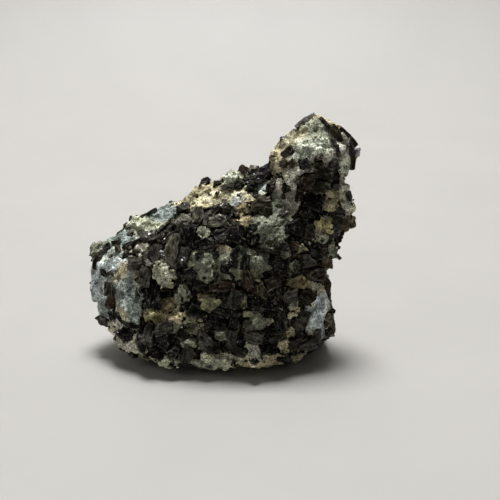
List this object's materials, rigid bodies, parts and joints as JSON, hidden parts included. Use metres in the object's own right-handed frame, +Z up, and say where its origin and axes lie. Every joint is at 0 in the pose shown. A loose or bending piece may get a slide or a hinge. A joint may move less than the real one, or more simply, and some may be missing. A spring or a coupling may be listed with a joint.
{
  "type": "mineral specimen",
  "caption": "Hand-sized mineral cluster: dark blocky crystals crowded in pale grey-green matrix, rising in a ridge to a knob that leans to one side. It rests on a flat face.",
  "frame": {"origin": "middle of the flat face that the rock rests on", "axes": "+X along the rock's length, from its low left end to the end with the raised knob; +Y away from the side that the picture shows; +Z up"},
  "size_m": [0.1018, 0.0572, 0.0905],
  "materials": {
    "rock": "mixed: dark crystals with a low lustre in dull grainy matrix"
  },
  "bodies": {
    "root": {"zincite_cluster": "rock"}
  },
  "joints": []
}
